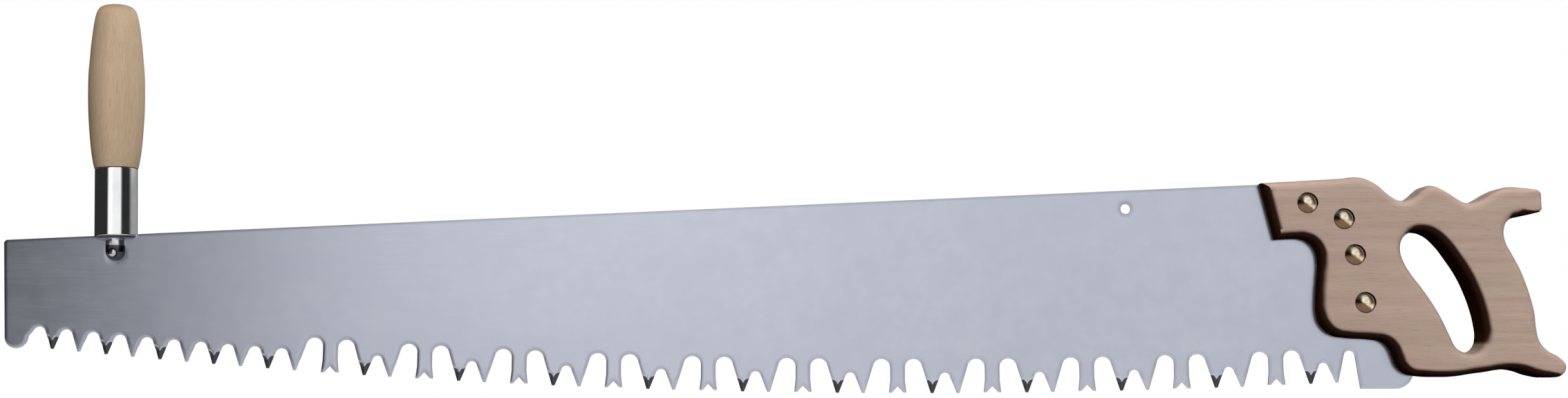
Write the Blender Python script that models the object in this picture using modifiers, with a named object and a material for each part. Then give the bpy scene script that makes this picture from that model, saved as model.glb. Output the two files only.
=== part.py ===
"""One-man crosscut saw: a toothed steel blade, a closed wooden handle held by four brass
bolts, and a turned upright handle that screws down on the back of the blade near the toe.

X runs along the saw from toe to handle, Z is up and Y runs through its thickness, with the
bolts' domed heads towards -Y. The origin is the middle of the main handle's grip.
Dimensions are in millimetres; MM turns them into metres.
"""

import math

import bmesh
import bpy
from mathutils import Vector, geometry

MM = 0.001
FIT_GAP = 0.3                     # left between two pieces that touch

# Blade plate
PLATE = 1.6
TOE_X = -969.2                    # of the toe's top corner
TOE_CORNER = 1.5
BACK_ANGLE = math.radians(2.53)   # the back climbs from the toe to the handle
BACK_Z_AT_TOE = 26.2
BREAST_RADIUS = 5460.0            # the tooth tips lie on this long, gently breasted arc
BREAST_X = -380.0
BREAST_LOW_Z = -72.3
TOE_LOBE_RADIUS = 7.5             # the rounded lower end of the toe
TOE_LOBE_CENTRE = (-957.9, -36.1)

# Teeth: pegs at the toe, then groups of one split raker between pairs of cutters
TIP_WIDTH = 1.8
PEG_COUNT = 10
PEG_PITCH = 17.4
PEG_DEPTH = 13.4
PEG_ROOT_RADIUS = 4.4
LAST_PEG_X = -778.0
GROUP_COUNT = 11
GROUP_PITCH = 60.83
FIRST_RAKER_X = -755.4
CUTTER_OFFSET = 22.1              # raker to the near cutter of the next pair
GULLET_OFFSET = 10.3
GULLET_RADIUS = 5.6
GULLET_DEPTH = 21.8
NOTCH_DEPTH = 13.0                # between the two cutters of a pair
NOTCH_RADIUS = 3.4
RAKER_SHORT = 0.3                 # rakers stop this far above the cutters' tips
RAKER_HALF = [(4.7, 8.0), (5.6, 0.0), (3.8, 0.0)]   # half width, height above the raker tip
RAKER_SPLIT = 4.0

# Heel of the blade, partly inside the handle
HEEL_GULLET_X = -99.8
HEEL_GULLET_DEPTH = 19.9
HEEL_GULLET_RADIUS = 3.7
HEEL_LEFT_X = -93.4
HEEL_Z = -69.5
HEEL_RADIUS = 12.0
HEEL_RIGHT_X = -59.0
REAR_EDGE = [(-59.0, -50.0), (-84.0, 20.0), (-84.0, 50.0), (-91.0, 60.0)]
REAR_BACK_X = -100.0

# Holes for the upright handle's pin, one at the toe and a spare one at the heel
PIN_DEPTH = 12.0                  # below the back edge
PIN_HOLE_RADIUS = 3.2
SPARE_HOLE_X = -241.4

# Main handle
HANDLE_THICKNESS = 23.0
EDGE_ROUND = 6.0                  # all round the outline and the hand hole
HORN_ROUND = 2.3                  # less on the horn's end
HORN_BOTTOM_Z = 35.0
HORN_FROM_X = 12.0
SPUR_ROUND = 3.8                  # and on the spur's
SPUR_FROM_X = 22.0
TIP_FADE = 8.0                    # the rounding falls off over this length
KERF_WIDTH = PLATE + 2 * FIT_GAP
KERF = [(-170, 80), (-82.5, 80), (-82.5, 20.5), (-57.5, -49.5), (-57.5, -80), (-170, -80)]

# Outline points are (x, z); a third value marks a sharp corner, the others lie on a smooth curve.
HANDLE_OUTLINE = [
    (-154.4, 62.6, True), (-103.0, 65.5), (-91.5, 66.3), (-81.4, 62.5), (-72.0, 54.6),
    (-65.6, 51.2), (-60.0, 52.0), (-56.0, 54.3), (-52.0, 57.8), (-47.8, 60.6),
    (-43.0, 60.6), (-38.5, 58.7), (-33.5, 55.8), (-28.7, 52.6), (-23.4, 49.8),
    (-18.0, 50.3), (-12.6, 52.7), (-6.2, 56.4), (0.0, 59.0), (6.1, 60.0), (12.8, 59.5),
    (22.8, 57.7, True), (24.7, 55.8, True), (24.7, 45.2, True), (23.1, 43.4, True),
    (16.0, 41.7), (9.5, 40.4), (4.0, 38.3), (1.0, 33.0), (1.3, 25.0), (5.6, 15.7),
    (10.0, 6.5), (13.2, -2.6), (15.7, -11.6), (17.6, -21.0), (18.2, -31.0),
    (19.8, -39.0), (24.8, -45.4), (31.6, -49.9), (35.2, -55.0), (32.6, -60.6),
    (25.0, -62.4), (15.0, -61.0), (6.5, -58.2), (-1.5, -57.2), (-9.0, -57.7),
    (-16.0, -58.9), (-25.0, -60.1), (-34.0, -61.5), (-44.0, -62.1), (-56.0, -61.6),
    (-65.5, -60.0), (-70.2, -55.6), (-72.4, -50.0), (-75.0, -44.0), (-79.8, -39.6),
    (-87.0, -38.2), (-104.0, -37.0), (-111.6, -35.4), (-117.6, -30.4), (-120.5, -23.0),
    (-120.6, -12.0), (-119.3, 1.0), (-118.5, 11.0), (-119.6, 18.0), (-123.4, 23.6),
    (-129.5, 26.4), (-135.0, 26.6), (-146.0, 26.0, True),
]
HAND_HOLE = [
    (-54.0, 31.2), (-47.0, 29.2), (-39.3, 22.4), (-32.4, 12.8), (-26.5, 3.2),
    (-22.0, -7.0), (-18.4, -18.0), (-16.2, -29.0), (-15.8, -36.5), (-17.6, -42.5),
    (-22.5, -46.3), (-28.5, -46.3), (-33.6, -43.4), (-37.2, -36.2), (-42.2, -24.8),
    (-48.0, -14.2), (-54.2, -4.8), (-60.3, 3.6), (-64.9, 12.0), (-66.6, 19.6),
    (-64.8, 26.4), (-60.2, 30.2),
]

# Saw bolts and their slotted nuts
BOLT_PLACES = [(-126.5, 49.1), (-103.4, 38.8), (-97.2, 15.7), (-91.9, -14.9)]
BOLT_HEAD_RADIUS = 6.2
BOLT_SHANK_RADIUS = 2.4
BOLT_HOLE_RADIUS = 2.9
BOLT_NECK = 6.2                   # side of the square neck
BOLT_NECK_LENGTH = 4.8
NECK_OVERLAP = 0.1                # of the neck into the head
COUNTERBORE_RADIUS = 6.6
COUNTERBORE_DEPTH = 2.0
DOME_HEIGHT = 2.5
NUT_SLOT_WIDTH = 1.5
NUT_SLOT_DEPTH = 0.9
NUT_SLOT_TURN = 25.0              # degrees from one nut's slot to the next
NUT_CHAMFER = 0.4
HEAD_SUNK = 0.2                   # the head's rim stops this far below the wood
NUT_PROUD = 0.5

# Upright handle; heights are measured from the blade's back along the handle's axis
UPRIGHT_X = -897.0
STUD_RADIUS = 6.3
STUD_END_CENTRE = -10.6           # centre of the stud's ball end
STUD_CROTCH = 0.8                 # top of the slot that straddles the blade
STUD_SHOULDER = 4.7
SHANK_RADIUS = 4.0
SHANK_TOP = 22.0
SHANK_CHAMFER = 0.6
PIN_RADIUS = 2.8
PIN_HALF_LENGTH = 6.2
PIN_CHAMFER = 0.4
FERRULE_RADIUS = 12.9
FERRULE_WALL = 1.2
FERRULE_BOTTOM = -2.8             # the foot laps over the blade's back
FERRULE_FOOT_TOP = 5.0
FERRULE_TOP = 43.0
FERRULE_RIM_RADIUS = 2.4
FERRULE_LIP = 0.3
WASHER_THICKNESS = 2.0
WASHER_HOLE_RADIUS = 4.5
NUT_ACROSS_FLATS = 13.0
NUT_THICKNESS = 6.5
TENON_RADIUS = FERRULE_RADIUS - FERRULE_WALL - FIT_GAP
GRIP_BORE_RADIUS = 4.7
GRIP_BORE_TOP = 34.0
GRIP_CROWN = 0.1                  # rise of the end grain in the middle of the top
GRIP_PROFILE = [                  # height, radius of the turned grip, bottom to top
    (43.3, 13.2), (47.0, 14.0), (52.0, 14.8), (58.0, 15.5), (65.0, 16.1), (72.5, 16.6),
    (80.0, 17.0), (89.0, 17.2), (98.0, 17.2), (106.0, 17.0), (114.0, 16.4), (122.0, 15.8),
    (130.0, 15.0), (137.0, 14.2), (142.0, 13.4), (146.0, 12.5), (148.7, 11.4),
    (150.4, 9.8), (151.5, 7.2), (151.9, 4.0),
]

OVERCUT = 2.0                     # how far a cutter runs past the surface it cuts
FINE_STEPS = 32                   # sides of a large turned piece
SMALL_STEPS = 20                  # sides of a fastener


def back_z(x):
    """Height of the blade's back edge."""
    return BACK_Z_AT_TOE + (x - TOE_X) * math.tan(BACK_ANGLE)


def tip_z(x):
    """Height of the tooth tips."""
    return BREAST_LOW_Z + BREAST_RADIUS - math.sqrt(BREAST_RADIUS ** 2 - (x - BREAST_X) ** 2)


def arc(centre, radius, start, end, steps):
    """Points on an arc, from the angle start to the angle end in degrees."""
    angles = [math.radians(start + (end - start) * i / steps) for i in range(steps + 1)]
    return [(centre[0] + radius * math.cos(a), centre[1] + radius * math.sin(a)) for a in angles]


def gullet(left, right, centre_x, depth, radius, steps=8):
    """Round gullet root, joined to the points left and right of it by tangent flanks."""
    centre = (centre_x, tip_z(centre_x) + depth - radius)

    def tangent(point, side):
        dx, dz = point[0] - centre[0], point[1] - centre[1]
        turn = math.acos(min(1.0, radius / math.hypot(dx, dz)))
        return math.degrees(math.atan2(dz, dx) + side * turn)

    start = tangent(left, -1) % 360
    return arc(centre, radius, start, tangent(right, 1), steps)


def tooth(x):
    """Left and right corner of a tooth's narrow tip."""
    return [(x - TIP_WIDTH / 2, tip_z(x)), (x + TIP_WIDTH / 2, tip_z(x))]


def raker(x):
    """Straight tooth with a split, flared end, left to right."""
    base = tip_z(x) + RAKER_SHORT
    left = [(x - half, base + height) for half, height in RAKER_HALF]
    right = [(x + half, base + height) for half, height in reversed(RAKER_HALF)]
    return left + [(x, base + RAKER_SPLIT)] + right


def toothed_edge():
    """The blade's lower edge from the toe to the start of the heel."""
    points = arc(TOE_LOBE_CENTRE, TOE_LOBE_RADIUS, 180, 360, 10)
    for i in range(PEG_COUNT):
        tip = tooth(LAST_PEG_X - PEG_PITCH * (PEG_COUNT - 1 - i))
        root_x = tip[0][0] + TIP_WIDTH / 2 - PEG_PITCH / 2
        points += gullet(points[-1], tip[0], root_x, PEG_DEPTH, PEG_ROOT_RADIUS) + tip
    for i in range(GROUP_COUNT):
        x = FIRST_RAKER_X + GROUP_PITCH * i
        middle = raker(x)
        near = tooth(x + CUTTER_OFFSET)
        far = tooth(x + GROUP_PITCH - CUTTER_OFFSET)
        points += gullet(points[-1], middle[0], x - GULLET_OFFSET, GULLET_DEPTH, GULLET_RADIUS)
        points += middle
        points += gullet(points[-1], near[0], x + GULLET_OFFSET, GULLET_DEPTH, GULLET_RADIUS)
        points += near
        points += gullet(near[1], far[0], x + GROUP_PITCH / 2, NOTCH_DEPTH, NOTCH_RADIUS, 6)
        points += far
    heel = (HEEL_LEFT_X, HEEL_Z)
    points += gullet(points[-1], heel, HEEL_GULLET_X, HEEL_GULLET_DEPTH, HEEL_GULLET_RADIUS)
    return points + [heel]


def blade_outline():
    """The whole outline of the blade."""
    heel_centre = (HEEL_RIGHT_X - HEEL_RADIUS, HEEL_Z + HEEL_RADIUS)
    rear = arc(heel_centre, HEEL_RADIUS, -90, 0, 5) + REAR_EDGE
    back = [(REAR_BACK_X, back_z(REAR_BACK_X)), (TOE_X + TOE_CORNER, back_z(TOE_X + TOE_CORNER)),
            (TOE_X, back_z(TOE_X) - TOE_CORNER)]
    return toothed_edge() + rear + back


def link(obj, group):
    """Put an object in a collection."""
    group.objects.link(obj)
    return obj


def finish(obj, material=None, sharp=35):
    """Give an object its material and smooth shading with sharp edges."""
    obj.data.polygons.foreach_set("use_smooth", [True] * len(obj.data.polygons))
    obj.data.set_sharp_from_angle(angle=math.radians(sharp))
    if material:
        obj.data.materials.append(material)
    return obj


def flat_solid(name, loops, thickness, group):
    """Plate in the XZ plane from closed outlines; the first is the rim, the others are holes."""
    data = bpy.data.curves.new(name, "CURVE")
    data.dimensions = "2D"
    data.fill_mode = "BOTH"
    data.extrude = thickness / 2 * MM
    for loop in loops:
        spline = data.splines.new("POLY")
        spline.points.add(len(loop) - 1)
        for point, (x, z) in zip(spline.points, loop):
            point.co = (x * MM, z * MM, 0, 1)
        spline.use_cyclic_u = True
    curve = link(bpy.data.objects.new(name + "_outline", data), group)
    curve.rotation_euler.x = math.pi / 2
    bpy.context.view_layer.update()

    depsgraph = bpy.context.evaluated_depsgraph_get()
    mesh = bpy.data.meshes.new_from_object(curve.evaluated_get(depsgraph))
    mesh.name = name
    mesh.transform(curve.matrix_world)
    bpy.data.objects.remove(curve)
    solid = bmesh.new()
    solid.from_mesh(mesh)
    bmesh.ops.remove_doubles(solid, verts=solid.verts, dist=0.00001)
    bmesh.ops.dissolve_limit(solid, angle_limit=0.001, verts=solid.verts, edges=solid.edges)
    bmesh.ops.recalc_face_normals(solid, faces=solid.faces)
    solid.to_mesh(mesh)
    solid.free()
    return link(bpy.data.objects.new(name, mesh), group)


def edge_round(x, z):
    """Rounding of the handle's edge at a place."""
    horn = z > HORN_BOTTOM_Z
    tip = HORN_ROUND if horn else SPUR_ROUND
    along = (x - (HORN_FROM_X if horn else SPUR_FROM_X)) / TIP_FADE
    return EDGE_ROUND + (tip - EDGE_ROUND) * min(1.0, max(0.0, along))


def smooth_outline(loop, steps, group):
    """Points of a closed curve through the outline, counterclockwise, sharp where it says so."""
    data = bpy.data.curves.new("outline", "CURVE")
    curve = link(bpy.data.objects.new("outline", data), group)
    spline = data.splines.new("BEZIER")
    spline.bezier_points.add(len(loop) - 1)
    for point, place in zip(spline.bezier_points, loop):
        point.co = (place[0], place[1], 0)
        handle = "VECTOR" if len(place) > 2 else "AUTO"
        point.handle_left_type = handle
        point.handle_right_type = handle
    spline.use_cyclic_u = True
    bpy.context.view_layer.update()
    knots = list(spline.bezier_points)
    points = []
    for a, b in zip(knots, knots[1:] + knots[:1]):
        points += geometry.interpolate_bezier(a.co, a.handle_right, b.handle_left, b.co,
                                              steps + 1)[:-1]
    bpy.data.objects.remove(curve)
    area = sum(a.x * b.y - b.x * a.y for a, b in zip(points, points[1:] + points[:1]))
    return points if area > 0 else points[::-1]


def rounded_plate(name, outline, hole, thickness, group, segments):
    """Plate in the XZ plane with one hole and a rounded edge all round both."""
    solid = bmesh.new()
    caps = ([], [])
    for loop in (outline, hole[::-1]):
        rings = [[] for _ in range(2 * (segments + 1))]
        for before, here, after in zip(loop[-1:] + loop[:-1], loop, loop[1:] + loop[:1]):
            first = (here - before).normalized()
            second = (after - here).normalized()
            inward = Vector((-first.y - second.y, first.x + second.x)).normalized()
            inward /= inward.x * -first.y + inward.y * first.x
            radius = edge_round(here.x, here.y)
            for step in range(segments + 1):
                angle = math.pi / 2 * step / segments
                place = here.xy + inward * radius * (1 - math.cos(angle))
                y = thickness / 2 - radius * (1 - math.sin(angle))
                rings[segments - step].append(solid.verts.new((place.x, -y, place.y)))
                rings[segments + 1 + step].append(solid.verts.new((place.x, y, place.y)))
        for ring, behind in zip(rings, rings[1:]):
            for i in range(len(ring)):
                solid.faces.new((ring[i], ring[i - 1], behind[i - 1], behind[i]))
        caps[0].append(rings[0])
        caps[1].append(rings[-1])
    for rings in caps:
        verts = [vert for ring in rings for vert in ring]
        flat = [[(vert.co.x, vert.co.z, 0) for vert in ring] for ring in rings]
        for triangle in geometry.tessellate_polygon(flat):
            solid.faces.new([verts[i] for i in triangle])
    bmesh.ops.scale(solid, vec=(MM, MM, MM), verts=solid.verts)
    bmesh.ops.dissolve_limit(solid, angle_limit=0.001, verts=[], edges=solid.edges)
    bmesh.ops.recalc_face_normals(solid, faces=solid.faces)
    mesh = bpy.data.meshes.new(name)
    solid.to_mesh(mesh)
    solid.free()
    return link(bpy.data.objects.new(name, mesh), group)


def turned(name, profile, group, steps, closed=False):
    """Solid of revolution about local Z; the profile is (radius, height) down the outside."""
    mesh = bpy.data.meshes.new(name)
    edges = [(i, i + 1) for i in range(len(profile) - 1)]
    if closed:
        edges.append((len(profile) - 1, 0))
    mesh.from_pydata([(radius * MM, 0, height * MM) for radius, height in profile], edges, [])
    obj = link(bpy.data.objects.new(name, mesh), group)
    screw = obj.modifiers.new("Turn", "SCREW")
    screw.axis = "Z"
    screw.steps = steps
    screw.render_steps = steps
    screw.use_merge_vertices = True
    screw.merge_threshold = 0.00001
    screw.use_smooth_shade = True
    return obj


def block(name, size, centre, group):
    """Box with its size applied to the mesh."""
    mesh = bpy.data.meshes.new(name)
    box = bmesh.new()
    bmesh.ops.create_cube(box, size=1)
    bmesh.ops.scale(box, vec=[length * MM for length in size], verts=box.verts)
    bmesh.ops.translate(box, vec=[value * MM for value in centre], verts=box.verts)
    box.to_mesh(mesh)
    box.free()
    return link(bpy.data.objects.new(name, mesh), group)


def hexagon(name, across_flats, bottom, top, group):
    """Six-sided prism about local Z."""
    mesh = bpy.data.meshes.new(name)
    prism = bmesh.new()
    radius = across_flats / math.sqrt(3) * MM
    bmesh.ops.create_cone(prism, cap_ends=True, segments=6, radius1=radius, radius2=radius,
                          depth=(top - bottom) * MM)
    bmesh.ops.translate(prism, vec=(0, 0, (top + bottom) / 2 * MM), verts=prism.verts)
    prism.to_mesh(mesh)
    prism.free()
    return link(bpy.data.objects.new(name, mesh), group)


def cut(obj, cutter, operation="DIFFERENCE"):
    """Cut one solid with another, or join them, by a live Boolean."""
    cutter.hide_render = True
    cutter.display_type = "WIRE"
    modifier = obj.modifiers.new(cutter.name, "BOOLEAN")
    modifier.operation = operation
    modifier.object = cutter
    modifier.solver = "EXACT"


def parent_to(obj, empty):
    """Place an object in the empty's own axes."""
    obj.parent = empty
    return obj


def dome(radius, base, height, steps=4):
    """Profile of a spherical cap, from its top down to its rim."""
    ball = (radius ** 2 + height ** 2) / (2 * height)
    half_angle = math.asin(radius / ball)
    angles = [half_angle * i / steps for i in range(steps + 1)]
    return [(ball * math.sin(a), base + height - ball + ball * math.cos(a)) for a in angles]


def principled(name, colour, roughness, metallic):
    """Plain Principled material."""
    material = bpy.data.materials.new(name)
    material.use_nodes = True
    shader = material.node_tree.nodes["Principled BSDF"]
    shader.inputs["Base Color"].default_value = (*colour, 1)
    shader.inputs["Roughness"].default_value = roughness
    shader.inputs["Metallic"].default_value = metallic
    return material


def make_blade(group, steel):
    """Toothed plate with its pin holes and bolt holes."""
    pin_x = UPRIGHT_X + PIN_DEPTH * math.sin(BACK_ANGLE)
    holes = [arc((x, back_z(x) - PIN_DEPTH), PIN_HOLE_RADIUS, 0, 345, 23)
             for x in (pin_x, SPARE_HOLE_X)]
    holes += [arc(place, BOLT_HOLE_RADIUS, 0, 337.5, 15) for place in BOLT_PLACES]
    finish(flat_solid("blade", [blade_outline()] + holes, PLATE, group), steel)


def make_main_handle(group, cutters, wood):
    """Closed handle with rounded edges, a kerf for the blade and counterbored bolt holes."""
    handle = rounded_plate("main_handle", smooth_outline(HANDLE_OUTLINE, 3, group),
                           smooth_outline(HAND_HOLE, 3, group), HANDLE_THICKNESS, group, 3)
    cut(handle, flat_solid("kerf_cutter", [KERF], KERF_WIDTH, cutters))

    face = HANDLE_THICKNESS / 2
    floor = face - COUNTERBORE_DEPTH
    outside = face + OVERCUT
    bore = [(0, outside), (COUNTERBORE_RADIUS, outside), (COUNTERBORE_RADIUS, floor),
            (BOLT_HOLE_RADIUS, floor), (BOLT_HOLE_RADIUS, -floor), (COUNTERBORE_RADIUS, -floor),
            (COUNTERBORE_RADIUS, -outside), (0, -outside)]
    pocket_bottom = floor - BOLT_NECK_LENGTH - FIT_GAP
    pocket_top = floor + COUNTERBORE_DEPTH / 2
    side = BOLT_NECK + 2 * FIT_GAP
    for number, (x, z) in enumerate(BOLT_PLACES, start=1):
        hole = turned(f"bolt_hole_cutter_{number}", bore, cutters, SMALL_STEPS)
        hole.location = (x * MM, 0, z * MM)
        hole.rotation_euler.x = math.pi / 2
        cut(handle, hole)
        pocket = block(f"neck_cutter_{number}", (side, pocket_top - pocket_bottom, side),
                       (x, -(pocket_top + pocket_bottom) / 2, z), cutters)
        cut(handle, pocket)
    finish(handle, wood)


def make_bolts(group, cutters, brass):
    """Domed bolts with a square neck, and the slotted nuts on their far ends."""
    face = HANDLE_THICKNESS / 2
    seat = face - COUNTERBORE_DEPTH + FIT_GAP
    rim = face - HEAD_SUNK
    nut_face = -face - NUT_PROUD
    bolt = dome(BOLT_HEAD_RADIUS, rim, DOME_HEIGHT) + [
        (BOLT_HEAD_RADIUS, seat), (BOLT_SHANK_RADIUS, seat), (BOLT_SHANK_RADIUS, -rim), (0, -rim)]
    thread = BOLT_SHANK_RADIUS + FIT_GAP
    nut = [(thread, -seat), (BOLT_HEAD_RADIUS, -seat), (BOLT_HEAD_RADIUS, nut_face + NUT_CHAMFER),
           (BOLT_HEAD_RADIUS - NUT_CHAMFER, nut_face), (thread, nut_face)]
    for number, (x, z) in enumerate(BOLT_PLACES, start=1):
        for name, profile, closed in ((f"saw_bolt_{number}", bolt, False),
                                      (f"saw_nut_{number}", nut, True)):
            piece = turned(name, profile, group, SMALL_STEPS, closed)
            piece.location = (x * MM, 0, z * MM)
            piece.rotation_euler.x = math.pi / 2
            piece.data.materials.append(brass)
            if closed:
                slot = block(f"nut_slot_cutter_{number}",
                             (3 * BOLT_HEAD_RADIUS, NUT_SLOT_WIDTH, 2 * NUT_SLOT_DEPTH),
                             (0, 0, nut_face), cutters)
                slot.location = piece.location
                slot.rotation_euler = (math.pi / 2, math.radians(NUT_SLOT_TURN * number), 0)
                cut(piece, slot)
            else:
                neck_centre = seat + NECK_OVERLAP - BOLT_NECK_LENGTH / 2
                neck = block(f"square_neck_{number}", (BOLT_NECK, BOLT_NECK_LENGTH, BOLT_NECK),
                             (x, -neck_centre, z), cutters)
                cut(piece, neck, "UNION")


def make_upright_handle(group, cutters, wood, chrome, steel):
    """Forked stud and pin on the blade, and the ferrule, washer, nut and grip that turn on it."""
    axis = link(bpy.data.objects.new("upright_axis", None), group)
    axis.location = (UPRIGHT_X * MM, 0, back_z(UPRIGHT_X) * MM)
    axis.rotation_euler.y = -BACK_ANGLE
    fork_width = PLATE + 2 * FIT_GAP

    ball = arc((0, STUD_END_CENTRE), STUD_RADIUS, 0, -90, 6)
    stud = turned("forked_stud", [(0, SHANK_TOP), (SHANK_RADIUS - SHANK_CHAMFER, SHANK_TOP),
                                  (SHANK_RADIUS, SHANK_TOP - SHANK_CHAMFER),
                                  (SHANK_RADIUS, STUD_SHOULDER), (STUD_RADIUS, STUD_SHOULDER)]
                  + ball[:-1] + [(0, STUD_END_CENTRE - STUD_RADIUS)], group, FINE_STEPS)
    slot_bottom = STUD_END_CENTRE - STUD_RADIUS - OVERCUT
    slot_size = (3 * STUD_RADIUS, fork_width, STUD_CROTCH - slot_bottom)
    cut(stud, parent_to(block("fork_slot_cutter", slot_size,
                              (0, 0, (STUD_CROTCH + slot_bottom) / 2), cutters), axis))
    bore_end = STUD_RADIUS + OVERCUT
    pin_bore = turned("pin_bore_cutter", [(0, bore_end), (PIN_RADIUS + FIT_GAP, bore_end),
                                          (PIN_RADIUS + FIT_GAP, -bore_end), (0, -bore_end)],
                      cutters, FINE_STEPS)
    pin = turned("cross_pin", [(0, PIN_HALF_LENGTH), (PIN_RADIUS - PIN_CHAMFER, PIN_HALF_LENGTH),
                               (PIN_RADIUS, PIN_HALF_LENGTH - PIN_CHAMFER),
                               (PIN_RADIUS, PIN_CHAMFER - PIN_HALF_LENGTH),
                               (PIN_RADIUS - PIN_CHAMFER, -PIN_HALF_LENGTH),
                               (0, -PIN_HALF_LENGTH)], group, FINE_STEPS)
    for piece in (pin_bore, pin):
        piece.location.z = -PIN_DEPTH * MM
        piece.rotation_euler.x = math.pi / 2
    cut(stud, pin_bore)

    inner = FERRULE_RADIUS - FERRULE_WALL
    rim = arc((FERRULE_RADIUS - FERRULE_RIM_RADIUS, FERRULE_BOTTOM + FERRULE_RIM_RADIUS),
              FERRULE_RIM_RADIUS, 0, -90, 4)
    ferrule = turned("ferrule", [(inner, FERRULE_TOP), (FERRULE_RADIUS - FERRULE_LIP, FERRULE_TOP),
                                 (FERRULE_RADIUS, FERRULE_TOP - FERRULE_LIP)] + rim
                     + [(STUD_RADIUS + FIT_GAP, FERRULE_BOTTOM),
                        (STUD_RADIUS + FIT_GAP, FERRULE_FOOT_TOP), (inner, FERRULE_FOOT_TOP)],
                     group, FINE_STEPS, True)
    lap = FIT_GAP - FERRULE_BOTTOM + OVERCUT
    cut(ferrule, parent_to(block("ferrule_slot_cutter", (3 * FERRULE_RADIUS, fork_width, lap),
                                 (0, 0, FIT_GAP - lap / 2), cutters), axis))

    washer_bottom = FERRULE_FOOT_TOP + FIT_GAP
    washer_top = washer_bottom + WASHER_THICKNESS
    washer = turned("thrust_washer", [(WASHER_HOLE_RADIUS, washer_top), (TENON_RADIUS, washer_top),
                                      (TENON_RADIUS, washer_bottom),
                                      (WASHER_HOLE_RADIUS, washer_bottom)], group, FINE_STEPS, True)

    nut_bottom = washer_top + FIT_GAP
    nut = hexagon("captive_nut", NUT_ACROSS_FLATS, nut_bottom, nut_bottom + NUT_THICKNESS, group)
    thread = SHANK_RADIUS + FIT_GAP
    thread_ends = (nut_bottom + NUT_THICKNESS + OVERCUT, nut_bottom - OVERCUT)
    thread_profile = [(0, thread_ends[0]), (thread, thread_ends[0]),
                      (thread, thread_ends[1]), (0, thread_ends[1])]
    cut(nut, parent_to(turned("thread_cutter", thread_profile, cutters, FINE_STEPS), axis))

    outside = [(radius, height) for height, radius in reversed(GRIP_PROFILE)]
    grip = turned("upright_grip", [(0, GRIP_PROFILE[-1][0] + GRIP_CROWN)] + outside
                  + [(TENON_RADIUS, GRIP_PROFILE[0][0]), (TENON_RADIUS, nut_bottom),
                     (GRIP_BORE_RADIUS, nut_bottom), (GRIP_BORE_RADIUS, GRIP_BORE_TOP),
                     (0, GRIP_BORE_TOP)], group, FINE_STEPS)
    cut(grip, parent_to(hexagon("nut_pocket_cutter", NUT_ACROSS_FLATS + 2 * FIT_GAP,
                                nut_bottom - OVERCUT, nut_bottom + NUT_THICKNESS + FIT_GAP,
                                cutters),
                        axis))

    for piece, material in ((stud, steel), (pin, steel), (ferrule, chrome), (washer, steel),
                            (nut, steel), (grip, wood)):
        piece.data.materials.append(material)
        parent_to(piece, axis)
    parent_to(pin_bore, axis)


def main():
    """Build the whole saw."""
    for obj in list(bpy.data.objects):
        bpy.data.objects.remove(obj)
    parts = bpy.data.collections.new("crosscut_saw")
    cutters = bpy.data.collections.new("cutters")
    bpy.context.scene.collection.children.link(parts)
    bpy.context.scene.collection.children.link(cutters)

    steel = principled("blade_steel", (0.56, 0.57, 0.62), 0.25, 1.0)
    wood = principled("beech", (0.44, 0.32, 0.25), 0.55, 0.0)
    brass = principled("brass", (0.78, 0.62, 0.38), 0.25, 1.0)
    chrome = principled("chrome", (0.75, 0.76, 0.78), 0.06, 1.0)
    dark_steel = principled("dark_steel", (0.12, 0.12, 0.13), 0.3, 1.0)

    make_blade(parts, steel)
    make_main_handle(parts, cutters, wood)
    make_bolts(parts, cutters, brass)
    make_upright_handle(parts, cutters, wood, chrome, dark_steel)


main()
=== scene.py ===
"""Looks of the one-man crosscut saw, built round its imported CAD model.

X runs along the saw from toe to handle, Z is up, and the saw is seen from -Y.
Dimensions are in millimetres in the part's own frame; MM turns them into metres.
"""

import math

import bmesh
import bpy
import numpy as np
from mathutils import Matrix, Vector, geometry, kdtree

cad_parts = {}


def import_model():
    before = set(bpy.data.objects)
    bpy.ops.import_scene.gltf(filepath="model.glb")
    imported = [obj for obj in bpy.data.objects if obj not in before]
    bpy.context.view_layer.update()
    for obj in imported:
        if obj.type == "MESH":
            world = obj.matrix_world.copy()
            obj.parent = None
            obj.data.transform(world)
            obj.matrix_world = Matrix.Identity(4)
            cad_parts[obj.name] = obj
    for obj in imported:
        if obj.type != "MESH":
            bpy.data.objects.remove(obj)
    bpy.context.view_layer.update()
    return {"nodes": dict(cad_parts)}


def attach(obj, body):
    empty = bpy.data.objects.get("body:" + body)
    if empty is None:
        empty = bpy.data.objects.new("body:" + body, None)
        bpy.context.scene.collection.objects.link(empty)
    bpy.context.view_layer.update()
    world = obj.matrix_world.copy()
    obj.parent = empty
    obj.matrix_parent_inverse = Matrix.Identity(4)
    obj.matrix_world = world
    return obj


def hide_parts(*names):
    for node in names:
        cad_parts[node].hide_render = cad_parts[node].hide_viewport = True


MM = 0.001
FIT_GAP = 0.3                     # left between two pieces that touch

# Blade plate
PLATE = 1.6
TOE_X = -969.2                    # of the toe's top corner
TOE_CORNER = 1.5
BACK_ANGLE = math.radians(2.53)   # the back climbs from the toe to the handle
BACK_Z_AT_TOE = 26.2
BREAST_RADIUS = 5460.0            # the tooth tips lie on this long, gently breasted arc
BREAST_X = -380.0
BREAST_LOW_Z = -72.3
TOE_LOBE_RADIUS = 7.5             # the rounded lower end of the toe
TOE_LOBE_CENTRE = (-957.9, -36.1)
EDGE_FALL = 0.26                  # the polished rim falls away by this much
EDGE_BAND = 2.2                   # over this width
EDGE_ROWS = (0.25, 0.6, 1.05, 1.6, 2.2, 2.9)   # rows of points along the rim

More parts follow.
